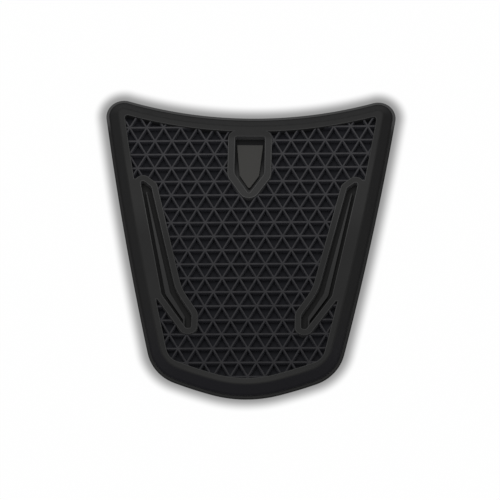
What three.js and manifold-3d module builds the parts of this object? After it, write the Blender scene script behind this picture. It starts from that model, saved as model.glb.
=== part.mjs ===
import * as THREE from "three";
import { mergeVertices } from "three/addons/utils/BufferGeometryUtils.js";
import Module from "manifold-3d";

// A motorcycle tank pad, moulded in one piece of black rubber, lying on its flat back.
// Millimetres. x runs across the pad, y from the pointed foot to the hollow top edge, and z out of the
// front face. Places in y are measured from the tip of the foot, and the finished pad is centred.

// Outline: corners before rounding, and how far each edge bows out between them
const footCornerY = -1.9;
const lowerCornerX = 53.5;
const lowerCornerY = 14.9;
const upperCornerX = 87.9;
const upperCornerY = 191.2;
const footBow = 1.6;
const sideBow = 1.9;
const topHollow = 15.8;
const footRadius = 72;
const lowerRadius = 25.5;
const upperRadius = 10.3;

// Section through the edge, from the outside in
const thickness = 6.5;
const lipThickness = 1.2;
const lipWidth = 1.8;
const lipStep = 0.5;
const bevelWidth = 5.5;
const landWidth = 3.7;

// Field of triangular cells inside the rim
const fieldLowerRadius = 10;
const fieldUpperRadius = 1.5;
const webThickness = 1.8;
const ribDrop = 1;
const ribWidth = 1.2;
const cellPitch = 10;
const latticeTurn = 0.9;
const latticeX = 0.1;
const latticeY = 98.7;
const leastCellArea = 1.5;

// Cranked groove down each side, with a rib in it, inside a raised frame that joins the rim
const frameWidth = 3.8;
const grooveFloor = 2.2;
const grooveRibDrop = 1;
const bridgeLowY = 58.5;
const bridgeHighY = 134.1;
const grooveCorners = [
  { x: 63.9, y: 134.2, round: 1.2 },
  { x: 57.2, y: 129, round: 1.5 },
  { x: 41.2, y: 64.1, round: 32 },
  { x: 31.6, y: 49.6, round: 3 },
  { x: 31.6, y: 41.2, round: 1.2 },
  { x: 34.5, y: 41.2, round: 1 },
  { x: 49, y: 61.5, round: 6 },
];
const grooveRibCorners = [
  { x: 60.3, y: 126.1, round: 0 },
  { x: 59.5, y: 126.1, round: 0 },
  { x: 44.2, y: 63.1, round: 12 },
  { x: 35.3, y: 48.3, round: 2 },
  { x: 35.3, y: 40, round: 0 },
  { x: 36.4, y: 40, round: 0 },
  { x: 36.4, y: 46.4, round: 1 },
  { x: 47, y: 61.9, round: 8 },
];

// Shield window below the top edge: a bare tongue stands in a moat, inside a raised frame
const shieldHalfWidth = 12.9;
const shieldTopY = 165.4;
const shieldShoulderY = 135.8;
const shieldPointY = 117.1;
const shieldTopRadius = 5.2;
const shieldShoulderRadius = 8;
const shieldPointRadius = 6.6;
const moatFloor = 1.8;
const tongueHighEnd = 5;
const tongueLowEnd = 3;
const windowHalfWidth = 8.7;
const windowTopY = 161.2;
const windowShoulderY = 137.7;
const windowPointY = 125;
const windowTopRadius = 1;
const windowShoulderRadius = 5;
const windowPointRadius = 0.8;
const tongueTopHalfWidth = 7.8;
const tongueTopY = 157.4;
const tongueShoulderHalfWidth = 5.8;
const tongueShoulderY = 137.2;
const tonguePointY = 128.4;
const tongueTopRadius = 0.5;
const tongueShoulderRadius = 3;
const tonguePointRadius = 1;

// Fineness of the curves: degrees for each step on small rounds, steps for each bowed edge
const roundStep = 15;
const edgeSteps = 12;

// Levels, widths and outlines that follow from the sizes above
const rimWidth = lipWidth + bevelWidth + landWidth;
const ribTop = thickness - ribDrop;
const grooveRibTop = thickness - grooveRibDrop;
const clear = 1;
const shieldCorners = [
  { x: -shieldHalfWidth, y: shieldTopY, round: shieldTopRadius },
  { x: -shieldHalfWidth, y: shieldShoulderY, round: shieldShoulderRadius },
  { x: 0, y: shieldPointY, round: shieldPointRadius },
  { x: shieldHalfWidth, y: shieldShoulderY, round: shieldShoulderRadius },
  { x: shieldHalfWidth, y: shieldTopY, round: shieldTopRadius },
];
const windowCorners = [
  { x: -windowHalfWidth, y: windowTopY, round: windowTopRadius },
  { x: -windowHalfWidth, y: windowShoulderY, round: windowShoulderRadius },
  { x: 0, y: windowPointY, round: windowPointRadius },
  { x: windowHalfWidth, y: windowShoulderY, round: windowShoulderRadius },
  { x: windowHalfWidth, y: windowTopY, round: windowTopRadius },
];
const tongueCorners = [
  { x: -tongueTopHalfWidth, y: tongueTopY, round: tongueTopRadius },
  { x: -tongueShoulderHalfWidth, y: tongueShoulderY, round: tongueShoulderRadius },
  { x: 0, y: tonguePointY, round: tonguePointRadius },
  { x: tongueShoulderHalfWidth, y: tongueShoulderY, round: tongueShoulderRadius },
  { x: tongueTopHalfWidth, y: tongueTopY, round: tongueTopRadius },
];

const rubber = new THREE.MeshStandardMaterial({
  name: "rubber",
  color: 0x29292a,
  roughness: 0.62,
  metalness: 0,
});

const wasm = await Module();
wasm.setup();

// A closed three.js geometry as a solid that can be joined and cut
function solid(geometry) {
  const bare = geometry.clone();
  bare.deleteAttribute("normal");
  bare.deleteAttribute("uv");
  const merged = mergeVertices(bare, 1e-4);
  return new wasm.Manifold(new wasm.Mesh({
    numProp: 3,
    vertProperties: new Float32Array(merged.attributes.position.array),
    triVerts: new Uint32Array(merged.index.array),
  }));
}

// A solid back as a three.js geometry
function geometryOf(body) {
  const mesh = body.getMesh();
  const geometry = new THREE.BufferGeometry();
  geometry.setAttribute("position", new THREE.BufferAttribute(mesh.vertProperties, 3));
  geometry.setIndex(new THREE.BufferAttribute(mesh.triVerts, 1));
  geometry.computeVertexNormals();
  return geometry;
}

// An upright solid over a closed outline, between two levels
function prism(points, low, high) {
  const geometry = new THREE.ExtrudeGeometry(new THREE.Shape(points), {
    depth: high - low,
    bevelEnabled: false,
  });
  return solid(geometry.translate(0, 0, low));
}

// Points of an arc about a centre, both ends included, turning the shorter way
function arc(centre, radius, from, to, steps) {
  const turn = Math.atan2(Math.sin(to - from), Math.cos(to - from));
  return Array.from({ length: steps + 1 }, (_, i) => {
    const angle = from + turn * i / steps;
    return new THREE.Vector2(Math.cos(angle), Math.sin(angle)).multiplyScalar(radius).add(centre);
  });
}

// Steps for a small round that turns from one angle to another
function roundSteps(from, to) {
  const turn = Math.abs(Math.atan2(Math.sin(to - from), Math.cos(to - from)));
  return Math.max(1, Math.ceil(THREE.MathUtils.radToDeg(turn) / roundStep));
}

// The circle of an edge that bows out by a height between two corners. A hollow edge has its centre
// outside the outline and a negative radius.
function bowedEdge(from, to, bow) {
  const chord = new THREE.Vector2().subVectors(to, from);
  const length = chord.length();
  const radius = (length * length / 4 + bow * bow) / (2 * bow);
  const inward = new THREE.Vector2(-chord.y, chord.x).divideScalar(length);
  const centre = from.clone().add(to).multiplyScalar(0.5).addScaledVector(inward, radius - bow);
  return { centre, radius };
}

// Centre of the round of a given radius that touches two edges from inside, near their corner
function roundBetween(before, after, round, corner) {
  const reachBefore = before.radius - round;
  const reachAfter = after.radius - round;
  const gap = new THREE.Vector2().subVectors(after.centre, before.centre);
  const distance = gap.length();
  const along = (reachBefore ** 2 - reachAfter ** 2 + distance ** 2) / (2 * distance);
  const across = Math.sqrt(reachBefore ** 2 - along ** 2);
  gap.divideScalar(distance);
  const side = new THREE.Vector2(-gap.y, gap.x);
  const middle = before.centre.clone().addScaledVector(gap, along);
  const choices = [across, -across].map((reach) => middle.clone().addScaledVector(side, reach));
  return choices[0].distanceTo(corner) < choices[1].distanceTo(corner) ? choices[0] : choices[1];
}

// Angle of the line from an edge's circle through a round's centre, pointing out of the outline
function touchAngle(edge, centre) {
  const out = new THREE.Vector2().subVectors(centre, edge.centre).multiplyScalar(Math.sign(edge.radius));
  return out.angle();
}

// The pad's outline, moved in by an inset, anticlockwise from the foot
function padOutline(inset, lowerRound = lowerRadius, upperRound = upperRadius) {
  const corners = [
    new THREE.Vector2(0, footCornerY),
    new THREE.Vector2(lowerCornerX, lowerCornerY),
    new THREE.Vector2(upperCornerX, upperCornerY),
    new THREE.Vector2(-upperCornerX, upperCornerY),
    new THREE.Vector2(-lowerCornerX, lowerCornerY),
  ];
  const bows = [footBow, sideBow, -topHollow, sideBow, footBow];
  const rounds = [footRadius, lowerRound, upperRound, upperRound, lowerRound];
  const edges = corners.map((corner, i) => bowedEdge(corner, corners[(i + 1) % 5], bows[i]));
  const centres = corners.map((corner, i) =>
    roundBetween(edges[(i + 4) % 5], edges[i], rounds[i], corner));
  return corners.flatMap((_, i) => {
    const next = (i + 1) % 5;
    const edge = edges[i];
    const start = touchAngle(edges[(i + 4) % 5], centres[i]);
    const middle = touchAngle(edge, centres[i]);
    const end = touchAngle(edge, centres[next]);
    const steps = Math.max(roundSteps(start, middle), 6);
    const round = arc(centres[i], rounds[i] - inset, start, middle, steps);
    const hollow = edge.radius < 0 ? Math.PI : 0;
    const reach = Math.abs(edge.radius - inset);
    const side = arc(edge.centre, reach, middle + hollow, end + hollow, edgeSteps);
    return [...round, ...side.slice(1, -1)];
  });
}

// A straight-sided outline with rounded corners, anticlockwise, moved out by a growth
function roundedOutline(corners, growth = 0) {
  return corners.flatMap((corner, i) => {
    const here = new THREE.Vector2(corner.x, corner.y);
    const before = corners[(i + corners.length - 1) % corners.length];
    const after = corners[(i + 1) % corners.length];
    const into = new THREE.Vector2(corner.x - before.x, corner.y - before.y).normalize();
    const away = new THREE.Vector2(after.x - corner.x, after.y - corner.y).normalize();
    const outBefore = new THREE.Vector2(into.y, -into.x);
    const outAfter = new THREE.Vector2(away.y, -away.x);
    const outward = outBefore.clone().add(outAfter).normalize();
    const slant = outward.dot(outAfter);
    const bend = Math.sign(into.cross(away));
    const radius = corner.round + bend * growth;
    if (corner.round === 0 || radius <= 0) {
      return [here.addScaledVector(outward, growth / slant)];
    }
    const centre = here.addScaledVector(outward, -bend * corner.round / slant);
    const flip = bend < 0 ? Math.PI : 0;
    const from = outBefore.angle() + flip;
    const to = outAfter.angle() + flip;
    return arc(centre, radius, from, to, roundSteps(from, to));
  });
}

// The same corners on the other side of the centre line, still anticlockwise
function mirrored(corners) {
  return corners.map((corner) => ({ ...corner, x: -corner.x })).reverse();
}

// A closed solid through a stack of outlines with equal numbers of points, capped at both ends
function stack(rings) {
  const count = rings[0].points.length;
  const positions = rings.flatMap(({ points, level }) => points.flatMap((p) => [p.x, p.y, level]));
  const faces = [];
  for (let ring = 0; ring < rings.length - 1; ring += 1) {
    for (let i = 0; i < count; i += 1) {
      const a = ring * count + i;
      const b = ring * count + (i + 1) % count;
      faces.push(a, b, b + count, a, b + count, a + count);
    }
  }
  const top = (rings.length - 1) * count;
  for (const [a, b, c] of THREE.ShapeUtils.triangulateShape(rings[0].points, [])) {
    faces.push(a, c, b);
  }
  for (const [a, b, c] of THREE.ShapeUtils.triangulateShape(rings.at(-1).points, [])) {
    faces.push(top + a, top + b, top + c);
  }
  const geometry = new THREE.BufferGeometry();
  geometry.setAttribute("position", new THREE.Float32BufferAttribute(positions, 3));
  geometry.setIndex(faces);
  return solid(geometry);
}

// The blank: a thin lip round the back, a small step, then a bevel up to the flat land
function makeBlank() {
  return stack([
    { points: padOutline(0), level: 0 },
    { points: padOutline(0), level: lipThickness },
    { points: padOutline(lipWidth), level: lipThickness },
    { points: padOutline(lipWidth), level: lipThickness + lipStep },
    { points: padOutline(lipWidth + bevelWidth), level: thickness },
  ]);
}

// What stays at full height inside the rim: the groove frames, their bridges to the rim, and the shield
function makeIslands() {
  const low = -clear;
  const high = thickness + 2 * clear;
  const shield = prism(roundedOutline(shieldCorners), low, high);
  const [highEnd, , bend] = grooveCorners;
  const outerBend = grooveCorners.at(-1);
  const reach = rimWidth - frameWidth;
  const bridge = [
    { x: bend.x, y: bridgeLowY, round: 0 },
    { x: outerBend.x + reach, y: bridgeLowY, round: 0 },
    { x: highEnd.x + reach, y: bridgeHighY, round: 0 },
    { x: highEnd.x, y: bridgeHighY, round: 0 },
  ];
  return [grooveCorners, mirrored(grooveCorners)].reduce(
    (islands, corners) => islands.add(prism(roundedOutline(corners, frameWidth), low, high)),
    [bridge, mirrored(bridge)].reduce(
      (islands, corners) => islands.add(prism(roundedOutline(corners), low, high)), shield));
}

// One triangular cell between the ribs, pointing up the pad or down it
function cellOutline(centre, pointing) {
  const corner = cellPitch / Math.sqrt(3) - ribWidth;
  const turn = THREE.MathUtils.degToRad(latticeTurn);
  return [0, 1, 2].map((k) => {
    const angle = turn + pointing * Math.PI / 2 + k * Math.PI * 2 / 3;
    return new THREE.Vector2(Math.cos(angle), Math.sin(angle)).multiplyScalar(corner).add(centre);
  });
}

// Centres of all the lattice's cells that can reach the field, with the way that each one points
function cellPlaces() {
  const rowHeight = cellPitch * Math.sqrt(3) / 2;
  const rows = Math.ceil(upperCornerY / rowHeight);
  const columns = Math.ceil(upperCornerX / cellPitch) + 1;
  const origin = new THREE.Vector2(latticeX, latticeY);
  const turn = THREE.MathUtils.degToRad(latticeTurn);
  const places = [];
  for (let row = -rows; row <= rows; row += 1) {
    for (let column = -columns; column <= columns; column += 1) {
      const x = (column + Math.abs(row % 2) / 2) * cellPitch;
      const y = row * rowHeight;
      const up = new THREE.Vector2(x + cellPitch / 2, y + rowHeight / 3);
      const down = new THREE.Vector2(x, y + rowHeight * 2 / 3);
      places.push({ centre: up.rotateAround(new THREE.Vector2(), turn).add(origin), pointing: 1 });
      places.push({ centre: down.rotateAround(new THREE.Vector2(), turn).add(origin), pointing: -1 });
    }
  }
  return places;
}

// What is taken out of the blank inside the rim: the drop to the rib tops, and the cells between them
function makeFieldCut() {
  const outline = padOutline(rimWidth, fieldLowerRadius + rimWidth, fieldUpperRadius + rimWidth);
  const islands = makeIslands();
  const deep = prism(outline, webThickness, thickness + clear).subtract(islands);
  const shallow = prism(outline, ribTop, thickness + clear).subtract(islands);
  const depth = thickness + clear - webThickness;
  return cellPlaces().reduce((cut, { centre, pointing }) => {
    const cell = prism(cellOutline(centre, pointing), webThickness, thickness + clear).intersect(deep);
    return cell.volume() > leastCellArea * depth ? cut.add(cell) : cut;
  }, shallow);
}

// The cranked groove with its rib left standing
function makeGrooveCut(corners, ribCorners) {
  const groove = prism(roundedOutline(corners), grooveFloor, thickness + clear);
  const rib = prism(roundedOutline(ribCorners), grooveFloor - clear, grooveRibTop);
  return groove.subtract(rib);
}

// The shield window with its tongue left standing, whose face rises towards the point
function makeWindowCut() {
  const window = prism(roundedOutline(windowCorners), moatFloor, thickness + clear);
  const points = roundedOutline(tongueCorners);
  const slope = (tongueHighEnd - tongueLowEnd) / (tongueTopY - tonguePointY);
  const tongue = new THREE.ExtrudeGeometry(new THREE.Shape(points), { depth: 1, bevelEnabled: false });
  const place = tongue.attributes.position;
  for (let i = 0; i < place.count; i += 1) {
    const top = tongueLowEnd + slope * (tongueTopY - place.getY(i));
    place.setZ(i, place.getZ(i) > 0 ? top : moatFloor - clear);
  }
  return window.subtract(solid(tongue));
}

function makePad() {
  const body = makeBlank()
    .subtract(makeFieldCut())
    .subtract(makeGrooveCut(grooveCorners, grooveRibCorners))
    .subtract(makeGrooveCut(mirrored(grooveCorners), mirrored(grooveRibCorners)))
    .subtract(makeWindowCut());
  const geometry = geometryOf(body);
  geometry.computeBoundingBox();
  const { min, max } = geometry.boundingBox;
  const pad = new THREE.Mesh(geometry, rubber);
  pad.name = "tank_pad";
  pad.position.y = -(min.y + max.y) / 2;
  return pad;
}

const tankPad = new THREE.Group();
tankPad.name = "motorcycle_tank_pad";
tankPad.add(makePad());

export default tankPad;
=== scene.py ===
import math

import bpy
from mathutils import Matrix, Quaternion, Vector


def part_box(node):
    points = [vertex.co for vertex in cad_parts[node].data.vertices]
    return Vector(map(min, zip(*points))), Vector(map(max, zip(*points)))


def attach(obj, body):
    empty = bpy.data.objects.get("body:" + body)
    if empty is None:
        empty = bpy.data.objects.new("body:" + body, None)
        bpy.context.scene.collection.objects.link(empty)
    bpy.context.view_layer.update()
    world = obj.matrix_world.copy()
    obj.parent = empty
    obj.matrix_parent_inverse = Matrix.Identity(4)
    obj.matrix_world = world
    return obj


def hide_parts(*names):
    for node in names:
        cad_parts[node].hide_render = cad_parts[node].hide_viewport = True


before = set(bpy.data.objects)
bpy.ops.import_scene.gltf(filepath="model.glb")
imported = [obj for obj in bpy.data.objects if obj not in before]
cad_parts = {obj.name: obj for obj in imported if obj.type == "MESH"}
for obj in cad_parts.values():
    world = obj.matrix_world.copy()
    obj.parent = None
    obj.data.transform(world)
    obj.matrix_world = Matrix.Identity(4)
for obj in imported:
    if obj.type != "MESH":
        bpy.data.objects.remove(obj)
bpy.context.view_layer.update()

# A motorcycle tank pad, moulded in one piece of black rubber, lying on its back on a pale floor.
# Metres. Places in y are measured from the tip of the pad's foot, and FOOT moves them into the frame.

PAD_LOW, PAD_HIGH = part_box("tank_pad")
FOOT = PAD_LOW[1]
THICKNESS = PAD_HIGH[2] - PAD_LOW[2]

# Outline: corners before rounding, how far each edge bows out, and the rounding of each corner
FOOT_CORNER = Vector((0, -0.0019))
LOWER_CORNER = Vector((0.0535, 0.0149))
UPPER_CORNER = Vector((0.0879, 0.1912))
FOOT_BOW = 0.0016
SIDE_BOW = 0.0019
TOP_HOLLOW = 0.0158
FOOT_RADIUS = 0.072
LOWER_RADIUS = 0.0255
UPPER_RADIUS = 0.0103

# Section through the edge, from the outside in
LIP_THICKNESS = 0.0012
LIP_WIDTH = 0.0018
LIP_STEP = 0.0005
BEVEL_WIDTH = 0.0055
LAND_WIDTH = 0.0037
RIM_WIDTH = LIP_WIDTH + BEVEL_WIDTH + LAND_WIDTH

# Field of triangular cells
FIELD_LOWER_RADIUS = 0.010
FIELD_UPPER_RADIUS = 0.0015
WEB_THICKNESS = 0.0018
RIB_TOP = THICKNESS - 0.001
RIB_WIDTH = 0.0012
CELL_PITCH = 0.010
LATTICE_TURN = math.radians(0.9)
LATTICE_PLACE = Vector((0.0001, 0.0987))

# Cranked groove of the right side, its rib, and the frame round it: x, y and rounding of each corner
FRAME_WIDTH = 0.0038
GROOVE_FLOOR = 0.0022
GROOVE_RIB_TOP = THICKNESS - 0.001
GROOVE = [
    (0.0639, 0.1342, 0.0012),
    (0.0572, 0.129, 0.0015),
    (0.0412, 0.0641, 0.032),
    (0.0316, 0.0496, 0.003),
    (0.0316, 0.0412, 0.0012),
    (0.0345, 0.0412, 0.001),
    (0.049, 0.0615, 0.006),
]
GROOVE_RIB = [
    (0.0603, 0.1261, 0),
    (0.0595, 0.1261, 0),
    (0.0442, 0.0631, 0.012),
    (0.0353, 0.0483, 0.002),
    (0.0353, 0.04, 0),
    (0.0364, 0.04, 0),
    (0.0364, 0.0464, 0.001),
    (0.047, 0.0619, 0.008),
]
BRIDGE = [
    (0.0412, 0.0585, 0),
    (0.0562, 0.0585, 0),
    (0.0711, 0.1341, 0),
    (0.0639, 0.1341, 0),
]

# Shield window with its bare tongue
MOAT_FLOOR = 0.0018
TONGUE_HIGH_END = 0.005
TONGUE_LOW_END = 0.003
SHIELD = [
    (-0.0129, 0.1654, 0.0052),
    (-0.0129, 0.1358, 0.008),
    (0, 0.1171, 0.0066),
    (0.0129, 0.1358, 0.008),
    (0.0129, 0.1654, 0.0052),
]
WINDOW = [
    (-0.0087, 0.1612, 0.001),
    (-0.0087, 0.1377, 0.005),
    (0, 0.125, 0.0008),
    (0.0087, 0.1377, 0.005),
    (0.0087, 0.1612, 0.001),
]
TONGUE = [
    (-0.0078, 0.1574, 0.0005),
    (-0.0058, 0.1372, 0.003),
    (0, 0.1284, 0.001),
    (0.0058, 0.1372, 0.003),
    (0.0078, 0.1574, 0.0005),
]

# Edges are softened as the mould leaves them
LAND_EDGE = 0.00045
BEVEL_EDGE = 0.0009
RIB_EDGE = 0.0004
TONGUE_EDGE = 0.0003
LIP_EDGE = 0.00055
CELL_DRAFT = 0.00015

# Edges that turn by more than this, in degrees, are softened; faces that meet at less are shaded as one
SOFTENED_TURN = 30
LAND_EDGE_TURN = 60
SHADED_TURN = 32

# How finely the pad is drawn, and how many cells the sheet has
SOFT_STEPS = 3
LONG_EDGE_STEPS = 4
CROWN_STEPS = 3
CORNER_STEPS = 12
EDGE_STEPS = 36
ROUND_STEP = math.radians(7)
LATTICE_COLUMNS = 18
LATTICE_ROWS = 24

# How far solids reach past one another to cut and join cleanly, and how close counts as the same place
CLEAR = 0.001
BURIED = 0.0005
SAME_PLACE = 1e-5

# The moulding's outline stays this far inside that of the solid it replaces
INSIDE = 0.00004

# Spans along the pad, in the frame's y, over which one tone of painted light or shade gives way to the
# next; a band has a fade too
FOOT_SPAN = (FOOT + 0.008, FOOT + 0.022)
LOW_BEVEL_SPAN = (FOOT + 0.01, FOOT + 0.06)
SHOULDER_SPAN = (0, 0.03)
HEAD_SPAN = (0.045, 0.065)
TOP_LIP_HIGHLIGHT_SPAN = (PAD_HIGH[1] - 0.022, PAD_HIGH[1] - 0.012)
GROOVE_RIB_SPAN = (-0.035, 0.016)
POINT_SPAN = (TONGUE[1][1] + FOOT - 0.006, TONGUE[1][1] + FOOT + 0.014)
WINDOW_HEAD = WINDOW[0][1] + FOOT + CLEAR
WINDOW_HEAD_SPAN = (WINDOW_HEAD, WINDOW_HEAD + 0.002)
SHIELD_BAND = (SHIELD[2][1] + FOOT, WINDOW_HEAD, 0.004)
EDGE_HIGHLIGHT_BAND = (-0.01, 0.06, 0.03)

# Span out from the centre line, and spans in height
SHIELD_SIDE_SPAN = (SHIELD[3][0], SHIELD[3][0] + 0.002)
TOP_SPAN = (THICKNESS - 0.0002, THICKNESS - 0.0001)
LIP_SPAN = (LIP_THICKNESS + 0.0002, LIP_THICKNESS + 0.0004)
GROOVE_FLOOR_SPAN = (GROOVE_FLOOR + 0.0001, GROOVE_FLOOR + 0.0005)
GROOVE_CROWN_SPAN = (GROOVE_RIB_TOP - 0.0004, GROOVE_RIB_TOP - 0.0001)
CROWN_SPAN = (RIB_TOP - 0.0004, RIB_TOP - 0.0001)
CELL_FLOOR_SPAN = (WEB_THICKNESS, WEB_THICKNESS + 0.0002)

# Spans in how far a face looks up, 0 on a wall and 1 on a flat top, and for the crowns in how far sideways
BEVEL_FACING = (0.3, 0.5)
LAND_FACING = (0.8, 0.95)
SIDE_FACING = (0.2, 0.4)
CELL_WALL_FACING = (0.2, 0.5)
TONGUE_FACING = (0.5, 0.9)
CROWN_SIDE_FACING = (0.1, 0.5)

# Painted light and wear: the strength of the painted highlight on the rounded edges, what the crowns'
# sideways-facing sides lose of their paler tone as painted shade, the share of it that is painted light
# along the pad, and the span in the noise that gives the rest as wear
EDGE_HIGHLIGHT = 0.7
CROWN_SIDE_SHADE = 0.6
PLACE_LIGHT_SHARE = 0.75
WEAR_SPAN = (0.35, 0.65)

# Colours
LAND_COLOUR = (0.0134, 0.0134, 0.0134, 1)
# Painted light: the land is paler at the shoulder, the head and the foot
SHOULDER_LIGHT_COLOUR = (0.0205, 0.0205, 0.0203, 1)
HEAD_LIGHT_COLOUR = (0.0172, 0.0172, 0.0172, 1)
FOOT_LIGHT_COLOUR = (0.0205, 0.0205, 0.020, 1)
# Painted light and shade: the bevels take their own tone by their slope, bluer at the foot
BEVEL_COLOUR = (0.0145, 0.0145, 0.0147, 1)
FOOT_BEVEL_COLOUR = (0.0142, 0.014, 0.0168, 1)
LIP_COLOUR = (0.0095, 0.0095, 0.0095, 1)
# Painted highlight along the top lip
TOP_LIP_HIGHLIGHT_COLOUR = (0.056, 0.056, 0.056, 1)
# Painted highlights on the rounded edges of the land and the frames, stronger on the shield's
EDGE_HIGHLIGHT_COLOUR = (0.05, 0.05, 0.05, 1)
SHIELD_EDGE_HIGHLIGHT_COLOUR = (0.085, 0.085, 0.085, 1)
# Painted highlight on the shield's frame
FRAME_HIGHLIGHT_COLOUR = (0.0285, 0.0285, 0.0285, 1)
GROOVE_COLOUR = (0.0165, 0.0165, 0.0165, 1)
# Painted highlight on the groove ribs' crowns, dimmer towards the foot
GROOVE_RIB_COLOUR = (0.031, 0.031, 0.031, 1)
DIM_GROOVE_RIB_COLOUR = (0.018, 0.018, 0.018, 1)
# Painted shade on the moat floor, and painted light on the moat and the tongue's walls at the shield's
# point
MOAT_SHADE_COLOUR = (0.011, 0.011, 0.0115, 1)
POINT_LIGHT_COLOUR = (0.055, 0.055, 0.055, 1)
# Painted light on the steep walls of the rim, frames, grooves and moat, less above the window's head
SIDE_LIGHT_COLOUR = (0.13, 0.13, 0.133, 1)
HEAD_SIDE_LIGHT_COLOUR = (0.045, 0.045, 0.047, 1)
# Rib crowns: paler towards the head as painted light, mixed with random wear
RIB_COLOUR = (0.054, 0.0533, 0.057, 1)
DIM_RIB_COLOUR = (0.027, 0.0267, 0.029, 1)
# Painted shade on the cell floors and painted light on the cell walls
CELL_SHADE_COLOUR = (0.0108, 0.0112, 0.014, 1)
WALL_LIGHT_COLOUR = (0.08, 0.081, 0.093, 1)
TONGUE_COLOUR = (0.040, 0.039, 0.0365, 1)

# Surface: roughness and what is added to it, gloss, clouds, wear and the grain of the mould
ROUGHNESS = 0.5
CELL_ROUGHNESS = 0.56
TONGUE_ROUGHNESS = 0.4
BEVEL_DULLNESS = 0.2
GROOVE_DULLNESS = 0.35
CLOUD_DULLNESS = 0.1
GLOSS = 0.15
CELL_GLOSS = 0.07
CLOUD_SCALE = 60
WEAR_SCALE = 350
GRAIN_SCALE = 3500
GRAIN_DEPTH = 0.00004
GRAIN = 0.25
TONGUE_GRAIN = 0.1

# Lamps (name, lean off the vertical, side, size, power), room, floor and camera
LAMP_DISTANCE = 0.8
LAMPS = [("softbox", math.radians(14), math.radians(-14), 0.9, 5.4)]
ROOM_LIGHT = 0.22
FLOOR_SIZE = 40
FLOOR_COLOUR = (0.9, 0.9, 0.9, 1)
FLOOR_GLOW = 0.985
SHADOW_START = 0.0003
SHADOW_REACH = 0.0083
SHADOW_SHIFT = 0.0004
SHADOW_DARKEST = 0.33
CAMERA_TARGET = Vector((0.00132, -0.00323, 0.0055))
CAMERA_DISTANCE = 1.95627
CAMERA_ELEVATION = math.radians(68.087)
CAMERA_AZIMUTH = math.radians(4.8)
CAMERA_ROLL = math.radians(-3.969)
CAMERA_LENS = 243.144
CAMERA_SENSOR = 36
CAMERA_NEAR = 0.01
CAMERA_FAR = 20


def turn_between(start, end):
    """The shorter turn from one angle to another."""
    return math.atan2(math.sin(end - start), math.cos(end - start))


def arc(centre, radius, start, end, steps):
    """Points of an arc, both ends included."""
    turn = turn_between(start, end)
    angles = [start + turn * step / steps for step in range(steps + 1)]
    return [centre + radius * Vector((math.cos(a), math.sin(a))) for a in angles]


def steps_for(start, end):
    return max(2, math.ceil(abs(turn_between(start, end)) / ROUND_STEP))


def bowed_edge(start, end, bow):
    """Centre and radius of a bowed edge between two corners; the radius is negative if it is hollow."""
    chord = end - start
    radius = (chord.length_squared / 4 + bow * bow) / (2 * bow)
    inward = Vector((-chord.y, chord.x)).normalized()
    return (start + end) / 2 + inward * (radius - bow), radius


def round_between(before, after, radius, corner):
    """Centre of the round that touches two bowed edges from inside, near their corner."""
    reach_before = before[1] - radius
    reach_after = after[1] - radius
    gap = after[0] - before[0]
    along = (reach_before**2 - reach_after**2 + gap.length_squared) / (2 * gap.length)
    across = math.sqrt(reach_before**2 - along**2)
    gap.normalize()
    side = Vector((-gap.y, gap.x))
    choices = [before[0] + gap * along + side * across, before[0] + gap * along - side * across]
    return min(choices, key=lambda choice: (choice - corner).length)


def touch_angle(edge, centre):
    """Direction from a round's centre to where it touches an edge."""
    out = (centre - edge[0]) * math.copysign(1, edge[1])
    return math.atan2(out.y, out.x)


def pad_arcs(lower_round=LOWER_RADIUS, upper_round=UPPER_RADIUS):
    """The pad's bowed edges, and the radii and centres of its corners, anticlockwise from the foot."""
    right = [FOOT_CORNER, LOWER_CORNER, UPPER_CORNER]
    corners = right + [Vector((-corner.x, corner.y)) for corner in reversed(right[1:])]
    bows = [FOOT_BOW, SIDE_BOW, -TOP_HOLLOW, SIDE_BOW, FOOT_BOW]
    rounds = [FOOT_RADIUS, lower_round, upper_round, upper_round, lower_round]
    edges = [bowed_edge(*ends) for ends in zip(corners, corners[1:] + corners[:1], bows)]
    edges_before = edges[-1:] + edges[:-1]
    centres = [round_between(*meeting) for meeting in zip(edges_before, edges, rounds, corners)]
    return edges, rounds, centres


def pad_outline(inset, lower_round=LOWER_RADIUS, upper_round=UPPER_RADIUS):
    """The pad's outline moved in by an inset, anticlockwise from the foot."""
    edges, rounds, centres = pad_arcs(lower_round, upper_round)
    points = []
    for i, (edge, radius, centre) in enumerate(zip(edges, rounds, centres)):
        start = touch_angle(edges[i - 1], centre)
        middle = touch_angle(edge, centre)
        end = touch_angle(edge, centres[(i + 1) % len(centres)])
        hollow = math.pi if edge[1] < 0 else 0
        steps = max(steps_for(start, middle), CORNER_STEPS)
        points += arc(centre, radius - inset, start, middle, steps)
        points += arc(edge[0], abs(edge[1] - inset), middle + hollow, end + hollow, EDGE_STEPS)[1:-1]
    return points


def rounded_outline(corners, growth=0):
    """A straight-sided outline with rounded corners, anticlockwise, moved out by a growth."""
    points = []
    for i, (x, y, radius) in enumerate(corners):
        here = Vector((x, y))
        into = (here - Vector(corners[i - 1][:2])).normalized()
        away = (Vector(corners[(i + 1) % len(corners)][:2]) - here).normalized()
        out_before = Vector((into.y, -into.x))
        out_after = Vector((away.y, -away.x))
        outward = (out_before + out_after).normalized()
        slant = outward.dot(out_after)
        bend = math.copysign(1, into.x * away.y - into.y * away.x)
        reach = radius + bend * growth
        if radius == 0 or reach <= 0:
            points.append(here + outward * growth / slant)
            continue
        flip = math.pi if bend < 0 else 0
        start = math.atan2(out_before.y, out_before.x) + flip
        end = math.atan2(out_after.y, out_after.x) + flip
        points += arc(here - outward * bend * radius / slant, reach, start, end, steps_for(start, end))
    return points


def mirrored(corners):
    """The same corners on the other side of the centre line, still anticlockwise."""
    return [(-x, y, radius) for x, y, radius in reversed(corners)]


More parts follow.
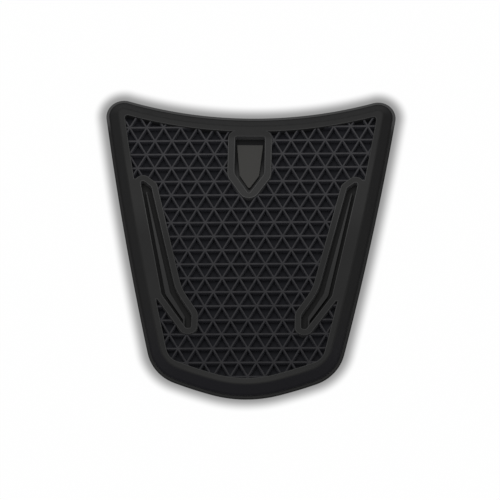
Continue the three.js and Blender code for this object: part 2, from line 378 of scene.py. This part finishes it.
def deselect_all():
    if bpy.context.mode != "OBJECT":
        bpy.ops.object.mode_set(mode="OBJECT")
    bpy.ops.object.select_all(action="DESELECT")


def pick(piece):
    deselect_all()
    piece.select_set(True)
    bpy.context.view_layer.objects.active = piece


def begin_edit(piece, kind="FACE"):
    pick(piece)
    bpy.ops.object.mode_set(mode="EDIT")
    bpy.ops.mesh.select_mode(type=kind)


def end_edit():
    bpy.ops.object.mode_set(mode="OBJECT")


def filled_outline(name, outline, level):
    """A flat face inside a closed outline: a filled circle with its rim moved onto the outline."""
    deselect_all()
    bpy.ops.mesh.primitive_circle_add(vertices=len(outline), fill_type="NGON")
    face = bpy.context.active_object
    face.name = name
    for vertex, point in zip(face.data.vertices, outline):
        vertex.co = (point.x, point.y + FOOT, level)
    return face


def plate(name, outline, low, high):
    """An upright solid over a closed outline."""
    piece = filled_outline(name, outline, low)
    begin_edit(piece)
    bpy.ops.mesh.select_all(action="SELECT")
    bpy.ops.mesh.extrude_region_move(TRANSFORM_OT_translate={"value": (0, 0, high - low)})
    bpy.ops.mesh.select_all(action="SELECT")
    bpy.ops.mesh.normals_make_consistent(inside=False)
    end_edit()
    return piece


def combine(target, other, operation):
    """Joins, cuts or overlaps two solids and uses the other one up; a joined one keeps its finish."""
    pick(target)
    boolean = target.modifiers.new(operation.lower(), "BOOLEAN")
    boolean.operation = operation
    boolean.solver = "EXACT"
    boolean.material_mode = "TRANSFER" if operation == "UNION" else "INDEX"
    boolean.object = other
    bpy.ops.object.modifier_apply(modifier=boolean.name)
    bpy.data.objects.remove(other)


def soften_edges(piece, radius, wanted, least=SOFTENED_TURN, segments=SOFT_STEPS, slot=-1):
    """Rounds the outer edges that turn by more than an angle and have both ends where wanted."""
    begin_edit(piece, "EDGE")
    bpy.ops.mesh.select_all(action="DESELECT")
    end_edit()
    mesh = piece.data
    sides = {}
    for face in mesh.polygons:
        for key in face.edge_keys:
            sides.setdefault(key, []).append(face)
    for edge in mesh.edges:
        one, other = sides[tuple(sorted(edge.vertices))]
        turn = math.degrees(one.normal.angle(other.normal, 0))
        outer_edge = one.normal.dot(other.center - one.center) < 0
        ends = [mesh.vertices[i].co for i in edge.vertices]
        edge.select = outer_edge and turn > least and all(wanted(end) for end in ends)
    begin_edit(piece, "EDGE")
    bpy.ops.mesh.bevel(
        offset=radius, offset_type="OFFSET", segments=segments, affect="EDGES",
        clamp_overlap=False, loop_slide=False, material=slot,
    )
    end_edit()


def at_level(level):
    return lambda place: abs(place.z - level) < SAME_PLACE


def make_blank():
    """The lip, the bevel and the flat land, drawn up and in from the outline."""
    blank = filled_outline("tank_pad_moulding", pad_outline(INSIDE), 0)
    begin_edit(blank)
    bpy.ops.mesh.select_all(action="SELECT")
    bpy.ops.mesh.extrude_region_move(TRANSFORM_OT_translate={"value": (0, 0, LIP_THICKNESS)})
    bpy.ops.mesh.inset(thickness=LIP_WIDTH, depth=0)
    bpy.ops.mesh.extrude_region_move(TRANSFORM_OT_translate={"value": (0, 0, LIP_STEP)})
    bpy.ops.mesh.inset(thickness=BEVEL_WIDTH, depth=THICKNESS - LIP_THICKNESS - LIP_STEP)
    bpy.ops.mesh.select_all(action="SELECT")
    bpy.ops.mesh.normals_make_consistent(inside=False)
    end_edit()
    return blank


def make_field_cutter():
    """The recess inside the rim, less the frames that stand in it."""
    outline = pad_outline(RIM_WIDTH, FIELD_LOWER_RADIUS + RIM_WIDTH, FIELD_UPPER_RADIUS + RIM_WIDTH)
    cutter = plate("recess", outline, 2 * BURIED, THICKNESS + CLEAR)
    islands = [rounded_outline(GROOVE, FRAME_WIDTH), rounded_outline(BRIDGE)]
    islands += [rounded_outline(mirrored(GROOVE), FRAME_WIDTH), rounded_outline(mirrored(BRIDGE))]
    islands.append(rounded_outline(SHIELD))
    for island in islands:
        combine(cutter, plate("island", island, -CLEAR, THICKNESS + 2 * CLEAR), "DIFFERENCE")
    return cutter


def make_groove_rib(corners):
    rib = plate("groove_rib", rounded_outline(corners), BURIED, GROOVE_RIB_TOP)
    soften_edges(rib, RIB_EDGE / 2, at_level(GROOVE_RIB_TOP))
    return rib


def make_tongue():
    """The bare tongue in the shield window, its face rising towards the point."""
    tongue = plate("tongue", rounded_outline(TONGUE), BURIED, TONGUE_LOW_END)
    high_y = TONGUE[0][1]
    slope = (TONGUE_HIGH_END - TONGUE_LOW_END) / (high_y - TONGUE[2][1])
    for vertex in tongue.data.vertices:
        if vertex.co.z > BURIED:
            vertex.co.z += slope * (high_y + FOOT - vertex.co.y)
    soften_edges(tongue, TONGUE_EDGE, lambda place: place.z > TONGUE_LOW_END - CLEAR)
    return tongue


def make_lattice():
    """The sheet of triangular cells: a pair is drawn, then rows and columns of it, closed underneath."""
    row_height = CELL_PITCH * math.sqrt(3) / 2
    corners = [Vector((CELL_PITCH / 2, row_height)), Vector((0, 0)), Vector((CELL_PITCH, 0))]
    sheet = filled_outline("lattice", [corner - Vector((0, FOOT)) for corner in corners], RIB_TOP)
    begin_edit(sheet)
    bpy.ops.mesh.select_all(action="SELECT")
    bpy.ops.mesh.inset(thickness=RIB_WIDTH / 2 - RIB_EDGE, depth=0)
    for k in range(CROWN_STEPS):
        start, end = (math.pi / 2 * step / CROWN_STEPS for step in (k, k + 1))
        across = RIB_EDGE * (math.sin(end) - math.sin(start))
        down = RIB_EDGE * (math.cos(start) - math.cos(end))
        bpy.ops.mesh.inset(thickness=across, depth=-down)
    bpy.ops.mesh.inset(thickness=CELL_DRAFT, depth=WEB_THICKNESS + RIB_EDGE - RIB_TOP)
    bpy.ops.mesh.select_all(action="SELECT")
    bpy.ops.mesh.duplicate()
    bpy.ops.transform.rotate(
        value=math.pi, orient_axis="Z", center_override=(CELL_PITCH * 0.75, row_height / 2, 0)
    )
    end_edit()
    steps = [
        (LATTICE_COLUMNS, (CELL_PITCH, 0, 0)),
        (2, (CELL_PITCH / 2, row_height, 0)),
        (LATTICE_ROWS // 2, (0, 2 * row_height, 0)),
    ]
    for count, offset in steps:
        rows = sheet.modifiers.new("rows", "ARRAY")
        rows.count = count
        rows.use_relative_offset = False
        rows.use_constant_offset = True
        rows.constant_offset_displace = offset
        bpy.ops.object.modifier_apply(modifier=rows.name)
    begin_edit(sheet)
    bpy.ops.mesh.select_all(action="SELECT")
    bpy.ops.mesh.remove_doubles(threshold=SAME_PLACE)
    bpy.ops.transform.translate(
        value=(-CELL_PITCH * LATTICE_COLUMNS / 2, -row_height * LATTICE_ROWS / 2, 0)
    )
    end_edit()
    sheet.rotation_euler.z = LATTICE_TURN
    sheet.location = (LATTICE_PLACE.x, LATTICE_PLACE.y + FOOT, 0)
    bpy.ops.object.transform_apply(location=True, rotation=True, scale=True)
    begin_edit(sheet, "EDGE")
    bpy.ops.mesh.select_all(action="DESELECT")
    bpy.ops.mesh.select_non_manifold()
    bpy.ops.mesh.extrude_region_move(TRANSFORM_OT_translate={"value": (0, 0, BURIED - RIB_TOP)})
    bpy.ops.mesh.edge_face_add()
    bpy.ops.mesh.select_all(action="SELECT")
    bpy.ops.mesh.normals_make_consistent(inside=False)
    end_edit()
    return sheet


def make_rim():
    """The blank with its recess, grooves and window cut, and all its edges softened."""
    rim = make_blank()
    soften_edges(rim, BEVEL_EDGE, at_level(THICKNESS), segments=LONG_EDGE_STEPS)
    soften_edges(rim, LIP_EDGE, at_level(LIP_THICKNESS), segments=LONG_EDGE_STEPS)
    combine(rim, make_field_cutter(), "DIFFERENCE")
    for corners in (GROOVE, mirrored(GROOVE)):
        groove = plate("groove", rounded_outline(corners), GROOVE_FLOOR, THICKNESS + CLEAR)
        combine(rim, groove, "DIFFERENCE")
    window = plate("window", rounded_outline(WINDOW), MOAT_FLOOR, THICKNESS + CLEAR)
    combine(rim, window, "DIFFERENCE")
    rim.data.materials.append(rim_rubber())
    rim.data.materials.append(edge_highlight_rubber())
    soften_edges(rim, LAND_EDGE, at_level(THICKNESS), least=LAND_EDGE_TURN, slot=1)
    return rim


def make_trimmed_lattice():
    """The sheet of cells, cut to reach a little way into the rim and the frames."""
    lattice = make_lattice()
    combine(lattice, plate("core", pad_outline(RIM_WIDTH - 2 * CLEAR), 0, THICKNESS), "INTERSECT")
    for corners in (GROOVE, mirrored(GROOVE)):
        gap = plate("gap", rounded_outline(corners, FRAME_WIDTH / 2), 0, THICKNESS)
        combine(lattice, gap, "DIFFERENCE")
    gap = plate("gap", rounded_outline(WINDOW, FRAME_WIDTH / 2), 0, THICKNESS)
    combine(lattice, gap, "DIFFERENCE")
    return lattice


def make_moulding():
    """The whole pad as one closed solid, each part of it with its own finish."""
    moulding = make_rim()
    lattice = make_trimmed_lattice()
    lattice.data.materials.append(lattice_rubber())
    tongue = make_tongue()
    tongue.data.materials.append(tongue_rubber())
    groove_ribs = [make_groove_rib(GROOVE_RIB), make_groove_rib(mirrored(GROOVE_RIB))]
    finish = groove_rib_rubber()
    for rib in groove_ribs:
        rib.data.materials.append(finish)
    for part in (lattice, tongue, *groove_ribs):
        combine(moulding, part, "UNION")
    pick(moulding)
    bpy.ops.object.shade_smooth_by_angle(angle=math.radians(SHADED_TURN))
    weights = moulding.modifiers.new("flat_faces", "WEIGHTED_NORMAL")
    weights.weight = 100
    weights.keep_sharp = True
    bpy.ops.object.modifier_apply(modifier=weights.name)
    return moulding


class Level:
    """A node's output that can be written into sums; each sum adds a Math node."""

    def __init__(self, finish, socket):
        self.finish = finish
        self.socket = socket

    def _maths(self, operation, first, second):
        return self.finish.add("ShaderNodeMath", {"operation": operation}, {0: first, 1: second})

    def __add__(self, other):
        return self._maths("ADD", self, other)

    def __radd__(self, other):
        return self._maths("ADD", other, self)

    def __sub__(self, other):
        return self._maths("SUBTRACT", self, other)

    def __rsub__(self, other):
        return self._maths("SUBTRACT", other, self)

    def __mul__(self, other):
        return self._maths("MULTIPLY", self, other)

    def __rmul__(self, other):
        return self._maths("MULTIPLY", other, self)


class Finish:
    """A material made of nodes."""

    def __init__(self, name):
        self.material = bpy.data.materials.new(name)
        self.material.use_nodes = True
        self.nodes = self.material.node_tree.nodes
        self.links = self.material.node_tree.links
        self.nodes.clear()

    def add(self, kind, settings=None, sockets=None, output=0):
        """One node: its settings, then the values or links of its inputs; gives one of its outputs."""
        node = self.nodes.new(kind)
        for name, value in (settings or {}).items():
            setattr(node, name, value)
        for name, value in (sockets or {}).items():
            if isinstance(value, Level):
                self.links.new(value.socket, node.inputs[name])
            else:
                node.inputs[name].default_value = value
        return Level(self, node.outputs[output])

    def step(self, value, low, high):
        """0 below one value and 1 above another, smooth between them."""
        return self.add(
            "ShaderNodeMapRange",
            {"interpolation_type": "SMOOTHSTEP"},
            {"Value": value, "From Min": low, "From Max": high},
        )

    def band(self, value, low, high, fade):
        """1 between two values, fading to 0 outside them."""
        return self.step(value, low, low + fade) * (1 - self.step(value, high - fade, high))

    def noise(self, place, scale, detail=2):
        return self.add("ShaderNodeTexNoise", None, {"Vector": place, "Scale": scale, "Detail": detail})

    def mix(self, factor, first, second):
        """One colour at factor 0, another at 1; the colours' sockets go by number, as names repeat."""
        return self.add(
            "ShaderNodeMix",
            {"data_type": "RGBA"},
            {"Factor": factor, 6: first, 7: second},
            output=2,
        )

    def close(self, surface):
        output = self.nodes.new("ShaderNodeOutputMaterial")
        self.links.new(surface.socket, output.inputs["Surface"])
        return self.material


class Rubber(Finish):
    """Black rubber with the fine grain of its mould."""

    def __init__(self, name):
        super().__init__(name)
        self.place = self.add("ShaderNodeTexCoord", output="Object")
        self.across, self.along, self.height = (
            self.add("ShaderNodeSeparateXYZ", None, {"Vector": self.place}, axis) for axis in "XYZ"
        )
        facing = self.add("ShaderNodeNewGeometry", output="True Normal")
        self.sideways, self.up = (
            self.add("ShaderNodeSeparateXYZ", None, {"Vector": facing}, axis) for axis in "XZ"
        )
        self.clouds = self.noise(self.place, CLOUD_SCALE, 3)

    def magnitude(self, value):
        return self.add("ShaderNodeMath", {"operation": "ABSOLUTE"}, {0: value})

    def near_point(self):
        """1 at the point of the shield, 0 at its top."""
        return 1 - self.step(self.along, *POINT_SPAN)

    def near_shield(self):
        """1 on the shield's frame, 0 away from it."""
        beside = self.step(self.magnitude(self.across), *SHIELD_SIDE_SPAN)
        return (1 - beside) * self.band(self.along, *SHIELD_BAND)

    def dress(self, colour, roughness, grain=GRAIN, gloss=GLOSS):
        """The surface itself, with its clouds and its grain."""
        fine = self.noise(self.place, GRAIN_SCALE, 4)
        bump = {"Strength": grain, "Distance": GRAIN_DEPTH, "Height": fine}
        surface = self.add(
            "ShaderNodeBsdfPrincipled",
            None,
            {
                "Base Color": colour,
                "Roughness": roughness + CLOUD_DULLNESS * self.clouds,
                "Normal": self.add("ShaderNodeBump", None, bump),
                "Specular IOR Level": gloss,
            },
        )
        return self.close(surface)


def rim_rubber():
    """Lip, bevel, land, frames, grooves and moat, each with its own grey, much of it painted light and
    shade: painted highlights on the top lip and the shield's frame, paler land along the pad and lighter
    steep walls as painted light, and a darker moat as painted shade.
    """
    finish = Rubber("rim_rubber")
    along, height = finish.along, finish.height
    shield = finish.near_shield()
    top = finish.step(height, *TOP_SPAN)
    foot = 1 - finish.step(along, *FOOT_SPAN)
    slope = finish.step(finish.up, *BEVEL_FACING) * (1 - finish.step(finish.up, *LAND_FACING))
    side = 1 - finish.step(finish.up, *SIDE_FACING)
    # Painted highlight along the top lip
    lip = finish.mix(finish.step(along, *TOP_LIP_HIGHLIGHT_SPAN), LIP_COLOUR, TOP_LIP_HIGHLIGHT_COLOUR)
    # Painted shade on the moat floor, painted light at the shield's point
    moat = finish.mix(finish.near_point(), MOAT_SHADE_COLOUR, POINT_LIGHT_COLOUR)
    sunk = finish.mix(finish.step(height, MOAT_FLOOR, GROOVE_FLOOR), moat, GROOVE_COLOUR)
    above_lip = finish.step(height, *LIP_SPAN)
    # Painted light: paler land at the foot, the shoulder and the head
    land = finish.mix(foot, LAND_COLOUR, FOOT_LIGHT_COLOUR)
    land = finish.mix(finish.step(along, *SHOULDER_SPAN), land, SHOULDER_LIGHT_COLOUR)
    land = finish.mix(finish.step(along, *HEAD_SPAN), land, HEAD_LIGHT_COLOUR)
    # Painted highlight on the shield's frame
    land = finish.mix(shield, land, FRAME_HIGHLIGHT_COLOUR)
    colour = finish.mix(top, sunk, land)
    # Painted light on the steep walls, less above the window's head
    above_window = finish.step(along, *WINDOW_HEAD_SPAN)
    colour = finish.mix(side, colour, finish.mix(above_window, SIDE_LIGHT_COLOUR, HEAD_SIDE_LIGHT_COLOUR))
    # Painted light and shade on the bevels, by their slope and their place
    low_end = 1 - finish.step(along, *LOW_BEVEL_SPAN)
    colour = finish.mix(slope, colour, finish.mix(low_end, BEVEL_COLOUR, FOOT_BEVEL_COLOUR))
    colour = finish.mix(above_lip, lip, colour)
    floors = (1 - finish.step(height, *GROOVE_FLOOR_SPAN)) * (1 - side) * above_lip
    return finish.dress(colour, ROUGHNESS + BEVEL_DULLNESS * slope + GROOVE_DULLNESS * floors)


def edge_highlight_rubber():
    """The rounded edges of the land and the frames, with painted highlights where they face up, strongest
    on the shield's frame.
    """
    finish = Rubber("edge_highlight_rubber")
    # Painted highlight on the edges that face up, in a band along the pad and on the shield's frame
    painted_light_and_wear = EDGE_HIGHLIGHT * finish.band(finish.along, *EDGE_HIGHLIGHT_BAND)
    edge_highlight = finish.mix(finish.near_shield() + painted_light_and_wear, EDGE_HIGHLIGHT_COLOUR, SHIELD_EDGE_HIGHLIGHT_COLOUR)
    return finish.dress(finish.mix(finish.up, LAND_COLOUR, edge_highlight), ROUGHNESS)


def groove_rib_rubber():
    """The ribs in the side grooves, with painted highlights on their crowns, paler towards the head."""
    finish = Rubber("groove_rib_rubber")
    crown = finish.step(finish.height, *GROOVE_CROWN_SPAN)
    # Painted light: the crowns are paler towards the head
    high = finish.step(finish.along, *GROOVE_RIB_SPAN)
    painted_light_and_wear = finish.mix(high, DIM_GROOVE_RIB_COLOUR, GROOVE_RIB_COLOUR)
    return finish.dress(finish.mix(crown, GROOVE_COLOUR, painted_light_and_wear), ROUGHNESS)


def lattice_rubber():
    """Ribs with paler crowns, palest at the head as painted light, with random wear and painted shade on
    their sideways-facing sides, over cell floors darkened as painted shade and cell walls lightened as
    painted light.
    """
    finish = Rubber("lattice_rubber")
    # Painted shade on the crowns' sides that face sideways
    sides = finish.step(finish.magnitude(finish.sideways), *CROWN_SIDE_FACING)
    crowns = finish.step(finish.height, *CROWN_SPAN) * (1 - CROWN_SIDE_SHADE * sides)
    above_floor = finish.step(finish.height, *CELL_FLOOR_SPAN)
    walls = (1 - finish.step(finish.up, *CELL_WALL_FACING)) * above_floor
    clouds = finish.step(finish.noise(finish.place, WEAR_SCALE), *WEAR_SPAN)
    # Paler crowns: painted light towards the head, and random wear from the noise
    high = finish.step(finish.along, FOOT, -FOOT)
    painted_light_and_wear = PLACE_LIGHT_SHARE * high + (1 - PLACE_LIGHT_SHARE) * clouds
    ribs = finish.mix(painted_light_and_wear, DIM_RIB_COLOUR, RIB_COLOUR)
    # Painted shade on the cell floors, painted light on the cell walls
    colour = finish.mix(walls, CELL_SHADE_COLOUR, WALL_LIGHT_COLOUR)
    colour = finish.mix(crowns, colour, ribs)
    return finish.dress(colour, CELL_ROUGHNESS, gloss=CELL_GLOSS)


def tongue_rubber():
    """The bare tongue of the shield: smoother and a little warm, its walls paler near the point as painted
    light.
    """
    finish = Rubber("tongue_rubber")
    flat = finish.step(finish.up, *TONGUE_FACING)
    wall = finish.mix(finish.near_point(), LAND_COLOUR, POINT_LIGHT_COLOUR)
    return finish.dress(finish.mix(flat, wall, TONGUE_COLOUR), TONGUE_ROUGHNESS, TONGUE_GRAIN)


def distance_from_pad(finish):
    """How far a place on the floor lies outside the pad's outline."""
    place = finish.add("ShaderNodeTexCoord", output="Object")
    edges, rounds, centres = pad_arcs()

    def beyond(centre, radius):
        """The way from a circle's centre, and how far a place is outside it, or inside a negative one."""
        hub = (centre.x, centre.y + FOOT + SHADOW_SHIFT, 0)
        way = finish.add("ShaderNodeVectorMath", {"operation": "SUBTRACT"}, {0: place, 1: hub})
        length = finish.add("ShaderNodeVectorMath", {"operation": "LENGTH"}, {0: way}, "Value")
        return way, math.copysign(1, radius) * (length - abs(radius))

    def ahead(way, direction):
        """1 where a way points along a direction, 0 where it points against it."""
        sockets = {0: way, 1: direction}
        along = finish.add("ShaderNodeVectorMath", {"operation": "DOT_PRODUCT"}, sockets, "Value")
        return finish.add("ShaderNodeMath", {"operation": "GREATER_THAN"}, {0: along, 1: 0})

    away = beyond(*edges[0])[1]
    for edge in edges[1:]:
        away = finish.add("ShaderNodeMath", {"operation": "MAXIMUM"}, {0: away, 1: beyond(*edge)[1]})
    for i, (edge, radius, centre) in enumerate(zip(edges, rounds, centres)):
        way, outside = beyond(centre, radius)
        start = touch_angle(edges[i - 1], centre)
        end = touch_angle(edge, centre)
        after_start = ahead(way, (-math.sin(start), math.cos(start), 0))
        before_end = ahead(way, (math.sin(end), -math.cos(end), 0))
        away = away + after_start * before_end * (outside - away)
    return away


def white_floor():
    """Plain white for the camera and in reflections, with a painted soft shadow round the pad for the
    camera, drawn from the distance to its outline.
    """
    finish = Finish("white_floor")
    camera = finish.add("ShaderNodeLightPath", output="Is Camera Ray")
    glossy = finish.add("ShaderNodeLightPath", output="Is Glossy Ray")
    through = finish.add("ShaderNodeLightPath", output="Is Transmission Ray")
    seen = finish.add(
        "ShaderNodeMath", {"operation": "ADD", "use_clamp": True}, {0: camera + glossy, 1: through}
    )
    # Painted shadow: darker the nearer a place lies to the pad's outline
    near = 1 - finish.step(distance_from_pad(finish), SHADOW_START, SHADOW_REACH)
    shadow = 1 - camera * near * (1 - SHADOW_DARKEST)
    lit = finish.add("ShaderNodeBsdfDiffuse", None, {"Color": FLOOR_COLOUR})
    glow = finish.add("ShaderNodeEmission", None, {"Strength": shadow})
    surface = finish.add("ShaderNodeMixShader", None, {"Fac": seen * FLOOR_GLOW, 1: lit, 2: glow})
    return finish.close(surface)


def make_stage():
    """The floor, the lamps and the room's light."""
    deselect_all()
    bpy.ops.mesh.primitive_plane_add(size=FLOOR_SIZE, location=(0, 0, 0))
    floor = bpy.context.active_object
    floor.name = "floor"
    floor.data.materials.append(white_floor())
    for name, lean, side, size, power in LAMPS:
        level = math.sin(lean)
        direction = Vector((math.sin(side) * level, math.cos(side) * level, math.cos(lean)))
        bpy.ops.object.light_add(type="AREA", location=direction * LAMP_DISTANCE)
        lamp = bpy.context.active_object
        lamp.name = name
        lamp.data.size = size
        lamp.data.energy = power
        lamp.rotation_euler = direction.to_track_quat("Z", "Y").to_euler()
    world = bpy.data.worlds.new("room")
    bpy.context.scene.world = world
    world.use_nodes = True
    room = world.node_tree.nodes["Background"]
    room.inputs["Color"].default_value = (1, 1, 1, 1)
    room.inputs["Strength"].default_value = ROOM_LIGHT


def make_camera():
    turn = (
        Quaternion((0, 0, 1), CAMERA_AZIMUTH)
        @ Quaternion((1, 0, 0), math.pi / 2 - CAMERA_ELEVATION)
        @ Quaternion((0, 0, 1), CAMERA_ROLL)
    )
    place = CAMERA_TARGET + turn @ Vector((0, 0, CAMERA_DISTANCE))
    bpy.ops.object.camera_add(location=place, rotation=turn.to_euler())
    camera = bpy.context.active_object
    camera.data.sensor_width = CAMERA_SENSOR
    camera.data.lens = CAMERA_LENS
    camera.data.clip_start = CAMERA_NEAR
    camera.data.clip_end = CAMERA_FAR
    bpy.context.scene.camera = camera


make_camera()
make_stage()
moulding = make_moulding()
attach(moulding, "root")
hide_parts("tank_pad")
# The node that the moulding replaces wears the rim's rubber too
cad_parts["tank_pad"].data.materials[0] = moulding.data.materials[0]

bpy.context.scene.view_settings.view_transform = "Standard"
print("moulding triangles", sum(len(face.vertices) - 2 for face in moulding.data.polygons))
